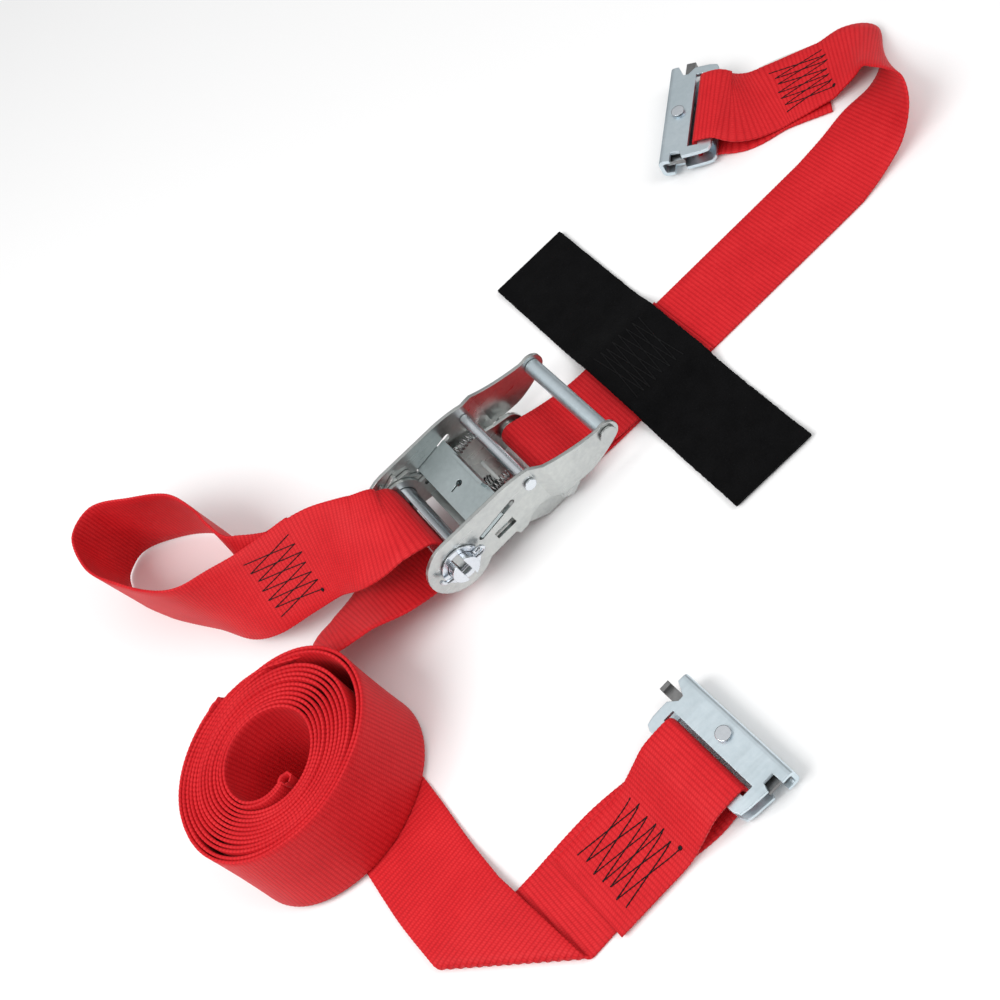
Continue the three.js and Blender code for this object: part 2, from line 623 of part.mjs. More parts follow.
// From the roll's outer turn, through a quarter twist, to the slot under the spindle.
function strapToRatchet() {
  const controls = [
    station([-105.6, 3.2, 27.7], [0, 0, -1]), station([-92, -3, 27.8], [0, 0, -1]),
    station([-77, -6.5, 28], [0, 0.1, -1]), station([-58, -4, 25], [0, 0.7, -0.7]),
    station([-36, -1, 19], [0, 1, -0.15]), station([-18, 0, 16.4], [0, 1, 0]),
    station([-6, 0, 17.4], [0, 1, 0]), station([0, 0, 20.9], [0, 1, 0]),
  ];
  return mesh('long_strap_to_ratchet', band(smoothStations(controls, 40), WEB_THICK), redWebbing);
}

function strapInSpindle() {
  const height = Math.sqrt(SPINDLE_RADIUS ** 2 - (SPINDLE_SLOT / 2) ** 2);
  const web = block(-WEB_THICK / 2, WEB_THICK / 2, -HALF, HALF, SPINDLE_Z - height, SPINDLE_Z + height);
  return mesh('strap_in_spindle', web, redWebbing);
}

// The free tail: up out of the spindle, over, sewn back on itself as an open eye.
const TAIL = [
  [[0, 0, 39.2], [0, 1, 0]], [[-2.5, 0, 46.5], [0, 1, 0]], [[-13, 1, 52], [0, 1, 0.05]],
  [[-30, 9, 50], [0.15, 0.97, 0.2]], [[-50, 28, 42.5], [0.2, 0.8, 0.5]], [[-72, 40, 36], [0.2, 0.75, 0.62]],
  [[-94, 49, 32.5], [0.15, 0.7, 0.7]], [[-111, 61, 29], [0.1, 0.45, 0.88]], [[-129, 80, 27], [0.1, -0.1, 0.98]],
  [[-149, 113, 26], [0.1, -0.25, 0.96]], [[-160, 143, 26], [0, -0.1, 1]], [[-156, 166, 26.5], [0, 0.1, 1]],
  [[-141, 173, 26.5], [0.05, 0.1, 1]], [[-116, 156, 27], [0, 0, 1]], [[-97, 135, 27.5], [0, 0, 1]],
  [[-90, 112, 28.5], [0, 0, 1]], [[-90, 89, 30], [0.1, 0.15, 0.98]], [[-88, 67, 31], [0.2, 0.5, 0.8]],
  [[-76, 47.5, 31.5], [0.25, 0.75, 0.62]], [[-58, 38, 36], [0.22, 0.78, 0.58]],
];

function tail() {
  const controls = TAIL.map(([centre, edge]) => station(centre, edge));
  return mesh('strap_tail', band(smoothStations(controls, 90), WEB_THICK), redWebbing);
}

function label() {
  const geometry = new THREE.BoxGeometry(36, 14, 0.2);
  geometry.rotateZ(THREE.MathUtils.degToRad(148)).translate(312.3, 48.8, 2.5);
  return mesh('blank_label', geometry, whiteLabel);
}

// ---------------------------------------------------------------- assembly
const strap = new THREE.Group();

strap.add(frame());
strap.add(frameBolt());
strap.add(frameNut());
strap.add(lockPawl());
strap.add(pawlSpring('lock_pawl_spring', LOCK_PAWL_ANGLE, 33.6, 8.8, 0));

strap.add(spindleHalf('spindle_half_front', 1));
strap.add(spindleHalf('spindle_half_back', -1));
[['near', -1], ['far', 1]].forEach(([where, side]) => {
  strap.add(ratchetWheel(`ratchet_wheel_${where}`, side));
  strap.add(spindleWasher(`spindle_washer_${where}`, side));
  strap.add(cotterPin(`cotter_pin_${where}`, side));
  strap.add(handlePlate(`handle_plate_${where}`, side));
  strap.add(pawlSpring(`drive_pawl_spring_${where}`, DRIVE_PAWL_ANGLE, 38.6, 11, side * 18));
});
strap.add(strapInSpindle());

strap.add(gripTube());
strap.add(rivetPin('grip_pin', GRIP.x, GRIP.z, GRIP.pinRadius, 5, GRIP_INNER));
strap.add(crossBar());
strap.add(drivePawl());

strap.add(fixedStrap());
strap.add(tie());
strap.add(label());
strap.add(roll());
strap.add(strapToFitting());
strap.add(strapToRatchet());
strap.add(tail());

strap.add(fitting('fitting_1', FITTING_1, true));
strap.add(fitting('fitting_2', FITTING_2, false));

// The origin is moved to the middle of the plan, on the ground.
strap.position.set(-PLAN_CENTRE.x, -PLAN_CENTRE.y, 0);
const part = new THREE.Group();
part.add(strap);

export default part;
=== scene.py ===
"""Looks of the ratchet strap: webbing, stitching, loop tape, springs and plated steel round the CAD frame.

Lengths are in millimetres from the foot of the spindle, as in part.mjs, and to_row() turns them into
metres in the row frame.
"""

import json
import math
import random

import bpy
import numpy as np
from mathutils import Matrix, Vector, noise


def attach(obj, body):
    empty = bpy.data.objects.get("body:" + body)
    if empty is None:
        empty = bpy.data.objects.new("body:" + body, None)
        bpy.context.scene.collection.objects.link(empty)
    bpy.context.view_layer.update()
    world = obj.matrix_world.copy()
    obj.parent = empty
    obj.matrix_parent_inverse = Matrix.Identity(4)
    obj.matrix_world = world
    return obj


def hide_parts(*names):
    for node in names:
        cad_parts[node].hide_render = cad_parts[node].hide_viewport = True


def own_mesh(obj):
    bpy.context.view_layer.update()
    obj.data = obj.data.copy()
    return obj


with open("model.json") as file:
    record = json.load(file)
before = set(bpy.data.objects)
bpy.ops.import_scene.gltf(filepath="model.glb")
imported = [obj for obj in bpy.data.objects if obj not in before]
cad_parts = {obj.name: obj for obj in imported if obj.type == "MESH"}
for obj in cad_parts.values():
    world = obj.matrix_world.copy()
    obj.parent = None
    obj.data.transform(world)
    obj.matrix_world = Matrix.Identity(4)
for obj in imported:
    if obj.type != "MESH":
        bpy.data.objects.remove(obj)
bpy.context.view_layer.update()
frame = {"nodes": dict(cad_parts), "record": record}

# ---------------------------------------------------------------- driving dimensions
PLAN_CENTRE = np.array([93.2, -26.5, 0.0])
WEB_WIDTH = 50.0
WEB_THICK = 1.7
HALF = WEB_WIDTH / 2
RIB_PITCH = 2.3
RIB_HEIGHT = 0.06
SEWN_RIB_HEIGHT = 0.2
EDGE_RIPPLE = 0.003
STATION_STEP = RIB_PITCH / 4

# Heights of the middle of webbing that lies on the floor, and of webbing on top of that.
LAYER_1 = 0.95
LAYER_2 = 2.85

SPINDLE_Z = 30.0
BOLT = {"x": 67.0, "z": 11.0, "radius": 5.0}
FITTING = {"bottom": 3.2, "height": 12.0}
FITTING_1 = {"x": 270.5, "y": 98.5, "heading": 133.0}
FITTING_2 = {"x": 27.0, "y": -195.0, "heading": 2.5}
ROLL_CENTRE = np.array([-130.0, -56.2, 27.0])
ROLL_LEAN = 0.25
ROLL_LAYERS = 14
TIE = {"x": 144.3, "y": 5.0, "heading": 89.0, "width": 50.8, "length": 222.0, "thick": 2.2}

X = np.array([1.0, 0.0, 0.0])
Y = np.array([0.0, 1.0, 0.0])
Z = np.array([0.0, 0.0, 1.0])


def to_row(points):
    """Points in millimetres from the foot of the spindle, as metres in the row frame."""
    return (np.asarray(points, float) - PLAN_CENTRE) / 1000


def direction(degrees):
    """The level direction at an angle from +X, counter-clockwise from above."""
    angle = math.radians(degrees)
    return np.array([math.cos(angle), math.sin(angle), 0.0])


# ---------------------------------------------------------------- camera
CAMERA_AT = (37.8, -492.0, 602.2)
CAMERA_RIGHT = (0.7147, -0.5392, -0.4455)
CAMERA_UP = (0.6994, 0.5525, 0.4533)
CAMERA_BACK = (0.0017, -0.6356, 0.7720)
LENS = 52.2
SENSOR = 36


def make_camera():
    data = bpy.data.cameras.new("camera")
    data.lens = LENS
    data.sensor_width = SENSOR
    camera = bpy.data.objects.new("camera", data)
    bpy.context.scene.collection.objects.link(camera)
    turn = Matrix((CAMERA_RIGHT, CAMERA_UP, CAMERA_BACK)).transposed().to_4x4()
    camera.matrix_world = Matrix.Translation(Vector(to_row(CAMERA_AT))) @ turn
    bpy.context.scene.camera = camera


# ---------------------------------------------------------------- strips of webbing
class Stretch:
    """A length of strip between its first and last stations.

    place() turns arrays of distance along, share of the half width across (-1 to 1, 1 at the left
    edge) and height off the middle surface into points. A station is a centre and the vector from it
    to the left edge.
    """

    def __init__(self, length, place, first, last):
        self.length = length
        self.place = place
        self.first = first
        self.last = last


def unit(vectors):
    return np.asarray(vectors, float) / np.linalg.norm(vectors, axis=-1, keepdims=True)


def spline(stations, step=0.25, square=True):
    """A smooth stretch through stations.

    The edge vectors are turned square to the centre line, unless the stations say where both edges lie.
    """
    values = np.array([[*centre, *edge] for centre, edge in stations], float)
    gaps = np.linalg.norm(np.diff(values[:, :3], axis=0), axis=1)
    knots = np.concatenate([[0], np.cumsum(np.sqrt(gaps))])
    slopes = np.diff(values, axis=0) / np.diff(knots)[:, None]
    before = np.diff(knots)[:-1, None]
    after = np.diff(knots)[1:, None]
    inner = (slopes[:-1] * after + slopes[1:] * before) / (before + after)
    tangents = np.vstack([slopes[:1], inner, slopes[-1:]])
    steps = np.maximum((gaps / step).astype(int), 2)
    samples = [values[:1]]
    for i, count in enumerate(steps):
        t = (np.arange(1, count + 1) / count)[:, None]
        span = knots[i + 1] - knots[i]
        samples.append(
            (2 * t**3 - 3 * t**2 + 1) * values[i]
            + (t**3 - 2 * t**2 + t) * span * tangents[i]
            + (3 * t**2 - 2 * t**3) * values[i + 1]
            + (t**3 - t**2) * span * tangents[i + 1]
        )
    samples = np.vstack(samples)
    centres = samples[:, :3]
    ahead = unit(np.gradient(centres, axis=0))
    edges = samples[:, 3:]
    if square:
        widths = np.linalg.norm(edges, axis=1, keepdims=True)
        edges = unit(edges - (edges * ahead).sum(1, keepdims=True) * ahead) * widths
    normals = unit(np.cross(ahead, edges))
    distance = np.concatenate([[0], np.cumsum(np.linalg.norm(np.diff(centres, axis=0), axis=1))])
    table = np.hstack([centres, edges, normals])

    def place(along, across, height):
        found = np.stack([np.interp(along, distance, column) for column in table.T], axis=-1)
        centre, edge, normal = found[..., :3], found[..., 3:6], found[..., 6:]
        return centre + across[..., None] * edge + height[..., None] * normal

    return Stretch(distance[-1], place, stations[0], stations[-1])


def crease(centre, ahead, left, turn, radius, up):
    """A stretch that folds back on itself over a slanting crease through centre.

    ahead and left are the strip's own directions before the crease, turn is the angle in degrees
    from the old heading to the new one, and up the side that it folds over to.
    """
    slant = math.radians(turn / 2)
    centre = np.asarray(centre, float)
    along_crease = math.cos(slant) * ahead + math.sin(slant) * left
    outward = np.sign(turn) * (math.sin(slant) * ahead - math.cos(slant) * left)
    bend = math.pi * radius
    reach = HALF / abs(math.tan(slant)) + 1
    length = 2 * reach + bend / abs(math.sin(slant))
    side = np.sign(np.dot(np.cross(ahead, left), up))

    def place(distance, across, height):
        flat = (distance - reach)[..., None] * ahead + (across * HALF)[..., None] * left
        beyond = flat @ outward
        level = flat - beyond[..., None] * outward
        angle = np.clip(beyond / radius, 0, math.pi)
        arm = radius - side * height
        past = beyond - np.clip(beyond, 0, bend)
        out = past * np.where(beyond > bend, -1, 1) + arm * np.sin(angle)
        rise = radius - arm * np.cos(angle)
        return centre + level + out[..., None] * outward + rise[..., None] * up

    def station(distance):
        ends = place(np.array([distance] * 2), np.array([0.0, 1.0]), np.zeros(2))
        return ends[0], ends[1] - ends[0]

    return Stretch(length, place, station(0.0), station(length))


def arc(axis, edge, ahead, up, radius, start, stop, count):
    """Stations round a circle about axis; the angle runs from ahead towards up."""
    stations = []
    for angle in np.radians(np.linspace(start, stop, count)):
        centre = np.asarray(axis) + radius * (math.cos(angle) * ahead + math.sin(angle) * up)
        stations.append((centre, np.asarray(edge)))
    return stations


def straight(x, y, z, heading, half=HALF):
    """A station of level webbing; a negative half swaps its left and right edges."""
    return (np.array([x, y, z], float), half * direction(heading + 90))


def stations_of(pairs):
    return [(np.array(centre, float), np.array(edge, float)) for centre, edge in pairs]


class Strip:
    """Several stretches end to end, read as one."""

    def __init__(self, *stretches):
        self.stretches = stretches
        self.starts = np.concatenate([[0], np.cumsum([s.length for s in stretches])])
        self.length = self.starts[-1]

    def place(self, along, across, height):
        along, across, height = np.broadcast_arrays(along, across, height)
        across = across.astype(float)
        height = height.astype(float)
        which = np.searchsorted(self.starts, along, side="right") - 1
        which = np.clip(which, 0, len(self.stretches) - 1)
        points = np.zeros(along.shape + (3,))
        for i, stretch in enumerate(self.stretches):
            chosen = which == i
            if chosen.any():
                local = along[chosen] - self.starts[i]
                points[chosen] = stretch.place(local, across[chosen], height[chosen])
        return points


# ---------------------------------------------------------------- mesh helpers
def add_object(name, vertices, faces, material, body):
    """A smooth object from points in millimetres, riding on a body of the frame."""
    mesh = bpy.data.meshes.new(name)
    mesh.from_pydata([tuple(v) for v in to_row(vertices)], [], faces)
    mesh.update()
    mesh.shade_smooth()
    mesh.materials.append(material)
    obj = bpy.data.objects.new(name, mesh)
    bpy.context.scene.collection.objects.link(obj)
    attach(obj, body)
    return obj


def ring_faces(rings, size):
    """Quads joining closed rings of points, with a cap on each end."""
    faces = []
    for i in range(rings - 1):
        for j in range(size):
            k = (j + 1) % size
            faces.append((i * size + j, i * size + k, (i + 1) * size + k, (i + 1) * size + j))
    faces.append(tuple(range(size))[::-1])
    faces.append(tuple((rings - 1) * size + j for j in range(size)))
    return faces


def section(across_count, thick, width):
    """The outline of a flat strip with rounded edges, as shares of the half width and half thickness."""
    inset = 1 - thick * 0.6 / width
    across = np.linspace(-inset, inset, across_count)
    top = [(u, 1.0) for u in across]
    bottom = [(-u, -1.0) for u in across]
    right = [(1 - thick * 0.12 / width, 0.6), (1 - thick * 0.12 / width, -0.6)]
    left = [(-u, -h) for u, h in right]
    return np.array(top + right + bottom + left)


def webbing_mesh(name, strip, material, body, across_count=9, coarse=()):
    """Webbing along a strip, ribbed on both faces, with a UV map in centimetres across and along.

    The ribs stand up more where sewing has drawn the strap together; coarse lists those places as
    (along, reach).
    """
    shape = section(across_count, WEB_THICK, WEB_WIDTH)
    count = max(int(strip.length / STATION_STEP), 4)
    along = np.linspace(0, strip.length, count)[:, None]
    across = shape[None, :, 0]
    ripple = np.cos(2 * math.pi * along / RIB_PITCH)
    ribs = RIB_HEIGHT + 0 * along
    for at, reach in coarse:
        near = np.clip(1.4 - np.abs(along - at) / reach, 0, 1)
        ribs = np.maximum(ribs, SEWN_RIB_HEIGHT * near)
    height = shape[None, :, 1] * (WEB_THICK / 2 + ribs * (ripple - 1) / 2)
    across = across * (1 + EDGE_RIPPLE * np.where(np.abs(across) > 0.9, ripple, 0))
    points = strip.place(along, across, height).reshape(-1, 3)
    obj = add_object(name, points, ring_faces(count, len(shape)), material, body)
    v = np.repeat(along[:, 0], len(shape)) / 10
    u = np.tile(shape[:, 0], count) * WEB_WIDTH / 20
    set_uv(obj.data, u, v)
    return obj


def set_uv(mesh, u, v):
    """A UV map called strip from one u and one v for each vertex."""
    corner = np.zeros(len(mesh.loops), int)
    mesh.loops.foreach_get("vertex_index", corner)
    layer = mesh.uv_layers.new(name="strip")
    layer.data.foreach_set("uv", np.stack([u[corner], v[corner]], axis=-1).ravel())


def tube(points, radius, sides=6):
    """The vertices and faces of a round tube along points."""
    points = np.asarray(points, float)
    ahead = unit(np.gradient(points, axis=0))
    side = np.cross(ahead[0], Z)
    if np.linalg.norm(side) < 0.1:
        side = np.cross(ahead[0], X)
    vertices = []
    for point, forward in zip(points, ahead):
        side = unit(side - np.dot(side, forward) * forward)
        up = np.cross(side, forward)
        for angle in np.arange(sides) * 2 * math.pi / sides:
            vertices.append(point + radius * (math.cos(angle) * side + math.sin(angle) * up))
    return vertices, ring_faces(len(points), sides)


# ---------------------------------------------------------------- materials
# Webbing reds: RED_DARK is painted shade in the grooves between ribs, RED_LIGHT the rib crowns.
RED_DARK = (0.42, 0.005, 0.009)
RED = (0.61, 0.010, 0.016)
RED_LIGHT = (0.76, 0.03, 0.035)
YARN_WIDTH = 1.25

# How far the bevel node softens the edges of the plate, in metres.
EDGE_ROUND = 0.0005


class Shader:
    """A node material with short calls for the nodes used here."""

    def __init__(self, name, **surface):
        self.material = bpy.data.materials.new(name)
        self.material.use_nodes = True
        self.tree = self.material.node_tree
        self.surface = self.tree.nodes["Principled BSDF"]
        for socket, value in surface.items():
            self.surface.inputs[socket.replace("_", " ")].default_value = value

    def node(self, kind, inputs=None, **settings):
        made = self.tree.nodes.new(kind)
        for key, value in settings.items():
            setattr(made, key, value)
        for key, value in (inputs or {}).items():
            self.feed(made.inputs[key], value)
        return made

    def feed(self, socket, value):
        if isinstance(value, bpy.types.NodeSocket):
            self.tree.links.new(value, socket)
        else:
            socket.default_value = value

    def math(self, operation, *values):
        made = self.node("ShaderNodeMath", operation=operation)
        for socket, value in zip(made.inputs, values):
            self.feed(socket, value)
        return made.outputs[0]

    def noise(self, scale, detail=2.0, vector=None):
        if vector is None:
            vector = self.node("ShaderNodeTexCoord").outputs["Object"]
        inputs = {"Scale": scale, "Detail": detail, "Vector": vector}
        return self.node("ShaderNodeTexNoise", inputs).outputs["Fac"]

    def ramp(self, value, *stops):
        made = self.node("ShaderNodeValToRGB", {"Fac": value})
        elements = made.color_ramp.elements
        while len(elements) < len(stops):
            elements.new(0.5)
        for element, (position, colour) in zip(elements, stops):
            element.position = position
            element.color = (*colour, 1)
        return made.outputs["Color"]

    def bump(self, height, distance, strength, normal=None):
        inputs = {"Height": height, "Distance": distance, "Strength": strength}
        if normal is not None:
            inputs["Normal"] = normal
        return self.node("ShaderNodeBump", inputs).outputs["Normal"]

    def strip_coordinates(self):
        """Distances across and along the webbing, in millimetres."""
        uv = self.node("ShaderNodeUVMap", uv_map="strip").outputs["UV"]
        parts = self.node("ShaderNodeSeparateXYZ", {"Vector": uv})
        across = self.math("MULTIPLY", parts.outputs["X"], 10)
        along = self.math("MULTIPLY", parts.outputs["Y"], 10)
        return across, along

    def colour(self, socket):
        self.feed(self.surface.inputs["Base Color"], socket)

    def roughness(self, socket):
        self.feed(self.surface.inputs["Roughness"], socket)

    def normal(self, socket):
        self.feed(self.surface.inputs["Normal"], socket)

    def mix(self, first, share, second, other_share):
        """The sum of two values, each times its share."""
        second = self.math("MULTIPLY", second, other_share)
        return self.math("ADD", self.math("MULTIPLY", first, share), second)


def webbing_material(name, dark, middle, light):
    """Woven polyester: rows of slanting yarn floats on each rib, darker in the grooves as painted shade and
    lighter on the rib crowns.
    """
    shader = Shader(name, Roughness=0.62, Specular_IOR_Level=0.2, Sheen_Weight=0.04, Sheen_Roughness=0.4)
    across, along = shader.strip_coordinates()
    rows = shader.math("MULTIPLY", along, 1 / RIB_PITCH)
    rib = shader.math("ABSOLUTE", shader.math("COSINE", shader.math("MULTIPLY", rows, math.pi)))
    row = shader.math("FLOOR", shader.math("ADD", rows, 0.5))
    slant = shader.mix(rows, 0.45, row, 0.5)
    yarn_turn = shader.math("ADD", shader.math("MULTIPLY", across, 1 / YARN_WIDTH), slant)
    yarn = shader.math("ABSOLUTE", shader.math("SINE", shader.math("MULTIPLY", yarn_turn, math.pi)))
    soft_rib = shader.math("POWER", rib, 0.6)
    soft_yarn = shader.math("ADD", shader.math("MULTIPLY", yarn, 0.45), 0.55)
    weave_and_groove_shade = shader.math("MULTIPLY", soft_rib, soft_yarn)
    blotch = shader.noise(55, 3)
    speck = shader.noise(900, 2)
    tone = shader.mix(weave_and_groove_shade, 0.45, blotch, 0.3)
    tone = shader.math("ADD", tone, shader.math("MULTIPLY", speck, 0.4))
    # The ramp runs towards RED_DARK in the grooves between ribs, which is painted shade, and towards
    # RED_LIGHT on the rib crowns; blotch and speck add random tone.
    shader.colour(shader.ramp(tone, (0.25, dark), (0.62, middle), (1.0, light)))
    shader.roughness(shader.math("ADD", shader.math("MULTIPLY", speck, 0.2), 0.5))
    shader.normal(shader.bump(weave_and_groove_shade, 0.00022, 0.8))
    return shader.material


def loop_tape_material():
    """Dull black loop tape, fuzzy all over."""
    surface = {"Roughness": 0.95, "Specular_IOR_Level": 0.1, "Sheen_Weight": 0.01, "Sheen_Roughness": 0.5}
    shader = Shader("loop_tape", **surface)
    fuzz = shader.noise(1500, 4)
    patch = shader.noise(120, 3)
    tone = shader.mix(fuzz, 0.6, patch, 0.4)
    shader.colour(shader.ramp(tone, (0.35, (0.0012, 0.0012, 0.0014)), (0.75, (0.005, 0.005, 0.0055))))
    shader.normal(shader.bump(fuzz, 0.0006, 0.7))
    return shader.material


def thread_material(name, colour, roughness):
    """Twisted sewing thread, darker between its plies, as painted shade laid on as noise."""
    shader = Shader(name, Roughness=roughness, Specular_IOR_Level=0.2)
    twist = shader.noise(2500, 2)
    # The darker stop is half the thread's colour: painted shade between the plies.
    darker = tuple(c * 0.5 for c in colour)
    shader.colour(shader.ramp(twist, (0.3, darker), (0.7, colour)))
    shader.normal(shader.bump(twist, 0.0002, 0.5))
    return shader.material


def label_material():
    """Plain off-white woven label, with nothing on it."""
    shader = Shader("label_weave", Roughness=0.8, Sheen_Weight=0.2)
    grain = shader.noise(1800, 2)
    shader.colour(shader.ramp(grain, (0.3, (0.72, 0.72, 0.69)), (0.7, (0.86, 0.86, 0.83))))
    shader.normal(shader.bump(grain, 0.0002, 0.4))
    return shader.material


def plated_material(name, light, dark, roughness, streak=0.25, relief=0.35):
    """Zinc plate: slightly cloudy, with fine rolling marks along X and softened edges.

    streak is how much the marks change the roughness, and relief how deep they look.
    """
    shader = Shader(name, Metallic=1.0, Roughness=roughness)
    place = shader.node("ShaderNodeTexCoord").outputs["Object"]
    stretch = shader.node("ShaderNodeMapping", {"Vector": place, "Scale": (40, 900, 900)})
    marks = shader.noise(1.0, 3, stretch.outputs["Vector"])
    cloud = shader.noise(38, 4)
    speck = shader.noise(420, 2)
    tone = shader.mix(cloud, 0.6, speck, 0.4)
    shader.colour(shader.ramp(tone, (0.3, dark), (0.7, light)))
    rough = shader.math("ADD", shader.math("MULTIPLY", marks, streak), roughness - streak / 2)
    shader.roughness(shader.math("ADD", rough, shader.math("MULTIPLY", cloud, 0.12)))
    rounded = shader.node("ShaderNodeBevel", {"Radius": EDGE_ROUND}, samples=4).outputs["Normal"]
    shader.normal(shader.bump(marks, 0.00004, relief, rounded))
    return shader.material


def make_materials():
    """The materials by the name of the slot they dress, or by what they are for."""
    zinc_bright = plated_material(
        "zinc_bright", (0.78, 0.82, 0.86), (0.66, 0.7, 0.75), 0.16, streak=0.04, relief=0.0
    )
    return {
        "webbing": webbing_material("webbing", RED_DARK, RED, RED_LIGHT),
        "tape": loop_tape_material(),
        "thread": thread_material("black_thread", (0.012, 0.008, 0.009), 0.5),
        "tape_thread": thread_material("tape_thread", (0.004, 0.004, 0.0045), 0.6),
        "label": label_material(),
        "zinc_plate": plated_material("zinc_plate", (0.62, 0.64, 0.62), (0.46, 0.48, 0.48), 0.26),
        "zinc_bright": zinc_bright,
        "zinc_blue": plated_material("zinc_blue", (0.72, 0.81, 0.86), (0.6, 0.7, 0.75), 0.36),
        # A darker copy of zinc_blue: painted shade for the pawls that sit between the plates.
        "zinc_painted_shade": plated_material("zinc_painted_shade", (0.5, 0.57, 0.58), (0.4, 0.46, 0.47), 0.32),
        "spring_steel": plated_material("spring_steel", (0.34, 0.34, 0.34), (0.2, 0.2, 0.2), 0.32),
    }


# ---------------------------------------------------------------- webbing routes
def bar_stations(fitting, half=HALF):
    """Round a fitting's rear bar: from underneath, up through the slot and back over the top."""
    ahead = direction(fitting["heading"])
    edge = direction(fitting["heading"] + 90) * half
    base = np.array([fitting["x"], fitting["y"], 0.0])
    top = FITTING["bottom"] + FITTING["height"] + 1.2
    bottom = FITTING["bottom"] - 1.3
    profile = [
        (-15, bottom), (-6.5, bottom), (-4.2, bottom + 0.7), (-3.1, bottom + 3),
        (-3.1, top - 3), (-4.2, top - 0.7), (-6.5, top), (-15, top),
    ]
    return [(base + along * ahead + z * Z, edge) for along, z in profile]


def behind(fitting, distance, z, half=HALF):
    """A station of level webbing at a distance behind a fitting, heading for it."""
    ahead = direction(fitting["heading"])
    centre = np.array([fitting["x"], fitting["y"], z]) - distance * ahead
    return centre, direction(fitting["heading"] + 90) * half


def ruled(pairs):
    """A smooth stretch between two edges, given as matching pairs of points, left and right."""
    pairs = [(np.array(left, float), np.array(right, float)) for left, right in pairs]
    return spline([((left + right) / 2, (left - right) / 2) for left, right in pairs], square=False)


def edges_of(station):
    """The left and right edges of a station."""
    centre, edge = station
    return centre + edge, centre - edge


# Where the fixed strap lifts, rolls over to the left and comes back down: its left edge and its right.
ROLLOVER = [
    ((283, 25.1, 1.1), (283, -24.9, 1.1)), ((300, 26.6, 1.1), (300, -22.9, 3.4)),
    ((320.5, 29.4, 1.2), (319, -20, 10)), ((339.7, 28.7, 1.3), (331.5, -15.8, 23.5)),
    ((352, 33, 1.6), (338, -6.7, 30)), ((363, 43, 2), (340, 7.6, 27)), ((371.5, 54, 3), (340, 20.5, 22)),
    ((368.5, 62, 5.5), (339.7, 28.7, 18)), ((360, 70, 6.5), (335, 33.5, 11)),
    ((346.5, 76, 5), (322.5, 37.5, 5.2)),
]


def fixed_strap_strip():
    """From the stub under the tie, round the bolt, back along the ground, over and out to fitting 1."""
    bolt = np.array([BOLT["x"], 0, BOLT["z"]])
    loop = arc(bolt, Y * HALF * 0.92, X, Z, BOLT["radius"] + 1.3, 62, 268, 12)
    start = [
        straight(172, 0, LAYER_2, 0), straight(140, 0, LAYER_2, 0), straight(116, 0, LAYER_2, 0),
        straight(104, 0, LAYER_2 + 1.2, 0), straight(88, 0, 8.4, 0, HALF * 0.98),
    ]
    run = [
        straight(84, 0, LAYER_1 + 1.2, 0, HALF * 0.98), straight(100, 0, LAYER_1, 0),
        straight(150, 0, LAYER_1, 0), straight(220, 0, LAYER_1, 0), straight(268, 0, LAYER_1, 0),
        straight(283, 0.1, LAYER_1, 0),
    ]
    rollover = ruled(ROLLOVER)
    lead = [
        rollover.last, straight(310, 71, LAYER_2 + 0.4, 148, -HALF),
        straight(298.5, 75.6, LAYER_2 + 2.2, 146, -HALF), behind(FITTING_1, 24, 11, -HALF),
    ]
    bar = bar_stations(FITTING_1, -HALF)[::-1]
    stub = [
        behind(FITTING_1, 27, LAYER_1, -HALF), straight(308, 71, LAYER_1, 148, -HALF),
        straight(331, 56, LAYER_1, 146, -HALF),
    ]
    return Strip(spline(start + loop + run), rollover, spline(lead + bar + stub))


def declare_webbing(obj, strip, *nodes):
    """Hides these CAD nodes, which the webbing stands in for."""
    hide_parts(*nodes)


def make_fixed_strap(materials):
    strip = fixed_strap_strip()
    obj = webbing_mesh("fixed_strap_webbing", strip, materials["webbing"], "frame")
    declare_webbing(obj, strip, "fixed_strap")
    return strip


# The doubled strap in the roll: gaps where it has sprung loose, as (angle, spread, gap at each turn from
# the outside), and the tongue at its doubled end, which stands clear of the last turn.
LOOSE_PLACES = [(15, 75, (6.0, 0.5, 0.4)), (212, 42, (1.6, 0.5)), (290, 50, (0.0, 0.4, 0.5, 0.3))]
ROLL_LAST = 90 + 175 + 360 * (ROLL_LAYERS // 2 - 1)
TONGUE = {"spread": 75, "lift": 8.0, "bend": 1.0}
LEANING = HALF * unit(np.array([0, ROLL_LEAN, 1.0]))


def layer_radius(angle, depth):
    """How far from the roll's middle a layer lies; the roll is an oval round a nearly round hole."""
    outer = 51.5 + 4.5 * math.cos(math.radians(2 * (angle - 10)))
    inner = 22 - 2.5 * math.cos(math.radians(angle))
    radius = outer + (inner - outer) * depth / (ROLL_LAYERS + 0.3)
    turn = math.floor((angle - 90) / 360)
    for at, spread, gaps in LOOSE_PLACES:
        off = (angle - at + 180) % 360 - 180
        if abs(off) < spread and 0 <= turn < len(gaps):
            radius += gaps[turn] * (0.5 + 0.5 * math.cos(math.pi * off / spread))
    tongue = max(0.0, 1 - (ROLL_LAST - angle) / TONGUE["spread"])
    return radius - TONGUE["lift"] * tongue**2


def in_roll(angle, depth, spare=0.0):
    """A station in the roll; the turns stand at slightly different heights."""
    lift = 0.4 * math.sin(angle / 83.0) + 0.25 * math.sin(angle / 31.0 + 1.0)
    return ROLL_CENTRE + (layer_radius(angle, depth) + spare) * direction(angle) + lift * Z, LEANING


